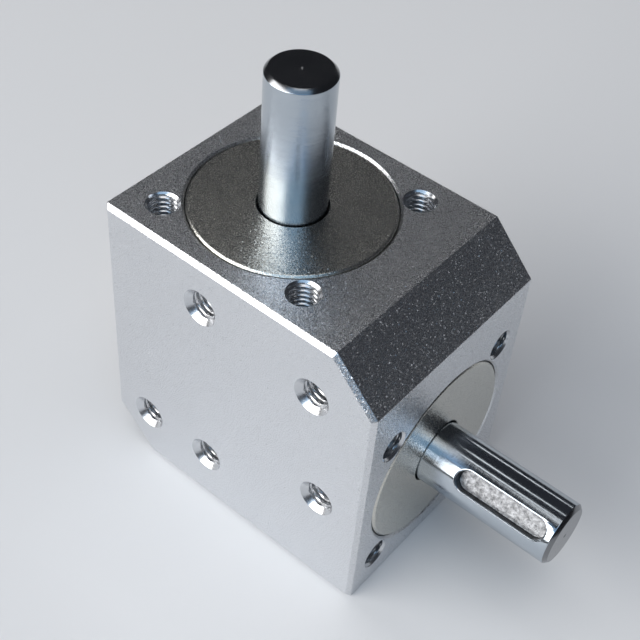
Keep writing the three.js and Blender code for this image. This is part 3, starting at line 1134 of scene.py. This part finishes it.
def small_cad_pieces(prefix, steel):
    """Circlips and keys keep their CAD shape, with softened edges and their own materials."""
    least_angle = math.radians(50)
    rows = {
        f"{prefix}_holder_circlip": (SPRING_STEEL, "spring_steel", 0.08),
        f"{prefix}_shaft_circlip": (SPRING_STEEL, "spring_steel", 0.06),
        f"{prefix}_gear_key": (steel, "gear_steel", 0.12),
    }
    for node, (material, slot, width) in rows.items():
        made = frame["nodes"][node]
        made.data.materials.clear()
        made.data.materials.append(material)
        bevel = made.modifiers.new("soft_edges", "BEVEL")
        bevel.width = width * METRES
        bevel.segments = 2
        bevel.limit_method = "ANGLE"
        bevel.angle_limit = least_angle


# ------------------------------------------------------------------------ assembly

housing()
for prefix, shaft_row in SHAFTS.items():
    place = shaft_row["place"]
    ground = turned_metal(
        f"{prefix}_bearing_steel", (0.66, 0.67, 0.69), place, roughness=0.14, lines=0.001, grain=0.002,
    )
    machined = turned_metal(
        f"{prefix}_gear_steel", (0.4, 0.41, 0.43), place, roughness=0.3, lines=0.004, grain=0.01,
    )
    bearing_holder(prefix, place)
    bearings(prefix, place, ground)
    spacers(prefix, place, machined)
    shaft(prefix, place, shaft_row["keyway_angle"], shaft_row["ground_lines"])
    gear(prefix, place, shaft_row["first_tooth"], machined)
    gear_washer(prefix, place)
    gear_screw(prefix, place)
    small_cad_pieces(prefix, machined)

# ------------------------------------------------------------------------ floor, light and camera


def floor():
    """A wide sheet of pale paper, just under the housing."""
    half_side = 3000
    bm = bmesh.new()
    bmesh.ops.create_grid(bm, x_segments=1, y_segments=1, size=half_side)
    bm.transform(Matrix.Translation((0, 0, -GAP)))
    made = link("floor", to_mesh(bm, "floor"))
    material, _, shader = new_material("floor_paper", (0.7, 0.7, 0.7), metallic=0.0)
    shader.inputs["Roughness"].default_value = 0.75
    made.data.materials.append(material)


def area_light(name, direction, distance, size, power, color=(1, 1, 1), along=None):
    """A soft box that faces the object from a direction. Its width lies level, or along a line."""
    aimed_at = Vector((0, 0, 0.03))
    data = bpy.data.lights.new(name, "AREA")
    data.shape = "RECTANGLE"
    data.size, data.size_y = size
    data.energy = power
    data.color = color
    made = bpy.data.objects.new(name, data)
    bpy.context.scene.collection.objects.link(made)
    toward = Vector(direction).normalized()
    across = Vector(along) if along else Vector((0, 0, 1)).cross(toward)
    across = (across - toward * across.dot(toward)).normalized()
    turn = Matrix((across, toward.cross(across), toward)).transposed().to_4x4()
    made.matrix_world = Matrix.Translation(aimed_at + toward * distance) @ turn
    return made


def lights():
    """A wide window at the front left, a bluish sky behind the camera, and a box overhead.

    Three thin strips give the shafts their bright lines, and a fill that no metal mirrors
    brightens the floor.
    """
    daylight = (1, 0.99, 0.98)
    lengthwise = (1, 0, 0)
    area_light("window", (-0.4, -0.8, 0.46), 2.6, (3.2, 1.7), power=84, color=daylight)
    area_light("sky", (0.45, -0.7, 0.8), 1.4, (1.5, 1.1), power=4.6, color=(0.42, 0.69, 1))
    area_light("top_box", (0.16, -0.2, 0.96), 1.4, (0.7, 0.7), power=2.2, color=daylight)
    for i, (y, z) in enumerate([(0.848, 0.338), (0.346, 0.844), (-0.028, 0.913)]):
        area_light(f"strip_{i}", (-0.41, y, z), 1.4, (0.9, 0.08), power=0.45, along=lengthwise)
    fill_color = (0.98, 0.97, 1)
    fill = area_light("floor_fill", (0.01, 0, 1), 2, (2, 2), 11.3, fill_color, lengthwise)
    fill.visible_glossy = False


def world():
    """A faint, even light from everywhere."""
    made = bpy.data.worlds.new("studio")
    made.use_nodes = True
    background = made.node_tree.nodes["Background"]
    background.inputs["Color"].default_value = (0.8, 0.85, 1, 1)
    background.inputs["Strength"].default_value = 0.04
    bpy.context.scene.world = made


def camera():
    """The photo's camera, fitted to the corners and circles of the gearbox."""
    stands_at = Vector((98.008, -124.530, 193.724))
    azimuth = math.radians(35.861)
    elevation = math.radians(45.776)
    roll = math.radians(5.474)
    data = bpy.data.cameras.new("camera")
    data.sensor_width = 36
    data.lens = 68.46
    data.clip_start = 0.01
    data.clip_end = 20
    made = bpy.data.objects.new("camera", data)
    bpy.context.scene.collection.objects.link(made)
    forward = Vector((
        -math.sin(azimuth) * math.cos(elevation),
        math.cos(azimuth) * math.cos(elevation),
        -math.sin(elevation),
    ))
    level = Vector((math.cos(azimuth), math.sin(azimuth), 0))
    right = Matrix.Rotation(-roll, 3, forward) @ level
    up = right.cross(forward)
    turn = Matrix((right, up, -forward)).transposed().to_4x4()
    made.matrix_world = Matrix.Translation(stands_at * METRES) @ turn
    bpy.context.scene.camera = made


floor()
lights()
world()
camera()
bpy.context.scene.view_settings.view_transform = "Standard"
